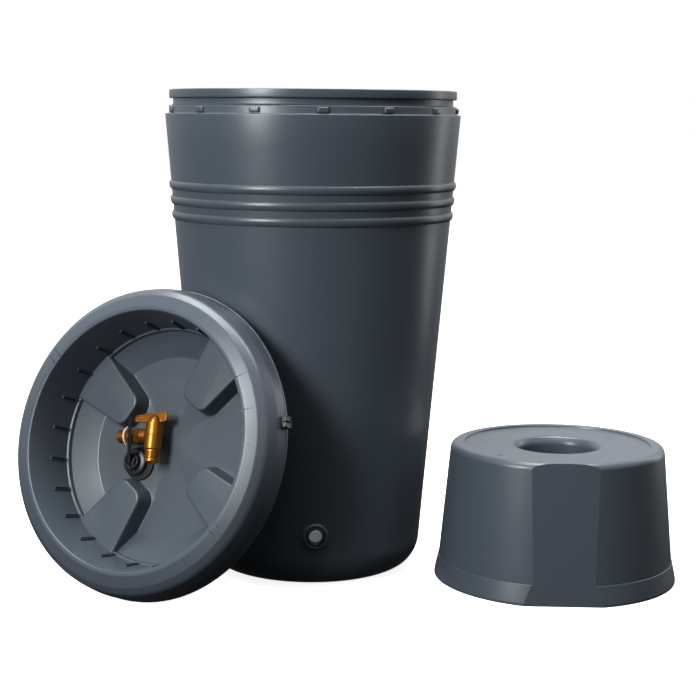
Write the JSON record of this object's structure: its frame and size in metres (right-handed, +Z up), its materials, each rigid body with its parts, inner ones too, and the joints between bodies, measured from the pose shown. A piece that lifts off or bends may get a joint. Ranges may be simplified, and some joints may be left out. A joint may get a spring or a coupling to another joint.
{
  "type": "rain barrel set",
  "caption": "Tapered upright plastic water barrel with ribbed neck band, leaning dish-shaped lid holding a tap and its loose fittings, and a round stand.",
  "frame": {"origin": "centre of the barrel's flat base, on the ground", "axes": "+Z up along the barrel's axis, -Y to the front where the outlet is, +X toward the stand"},
  "size_m": [1.3186, 0.7386, 0.97],
  "materials": {
    "slate_plastic": "fine moulded slate grey",
    "black_plastic": "satin black",
    "black_rubber": "dull black",
    "bronze_plastic": "satin bronze metallic",
    "cream_rubber": "dull cream"
  },
  "bodies": {
    "barrel": {"barrel_shell": "slate_plastic", "outlet_bush": "black_plastic"},
    "lid": {"lid_shell": "slate_plastic", "lid_clip": "black_plastic"},
    "stand": {"stand_shell": "slate_plastic"},
    "tap_set": {"tap_body": "bronze_plastic", "spout_tail": "bronze_plastic", "inlet_tail": "bronze_plastic", "inlet_hex": "bronze_plastic", "inlet_washer": "cream_rubber", "nut_seal": "black_rubber"},
    "valve": {"valve_plug": "bronze_plastic", "plug_seal_lower": "black_rubber", "plug_seal_upper": "black_rubber", "lever_cap": "bronze_plastic", "tap_lever": "bronze_plastic"},
    "nut": {"lock_nut": "black_plastic"},
    "key": {"fitting_key": "black_plastic"}
  },
  "joints": [
    {"name": "lid_lift", "type": "slide", "parent": "barrel", "child": "lid", "axis": [-0.5091, -0.8116, 0.2864], "range_m": [0, 0.45]},
    {"name": "stand_lift", "type": "slide", "parent": "barrel", "child": "stand", "axis": [0, 0, 1], "range_m": [0, 0.35]},
    {"name": "tap_lift", "type": "slide", "parent": "lid", "child": "tap_set", "axis": [-0.5091, -0.8116, 0.2864], "range_m": [0, 0.2]},
    {"name": "valve_turn", "type": "hinge", "parent": "tap_set", "child": "valve", "pos_m": [-0.30739, -0.19433, 0.2998], "axis": [0.0704, 0.3575, 0.9313], "range_deg": [0, 90]},
    {"name": "nut_spin", "type": "hinge", "parent": "tap_set", "child": "nut", "pos_m": [-0.35575, -0.17169, 0.24445], "axis": [-0.5091, -0.8116, 0.2864], "continuous": true},
    {"name": "key_lift", "type": "slide", "parent": "tap_set", "child": "key", "axis": [-0.5091, -0.8116, 0.2864], "range_m": [0, 0.12]}
  ]
}
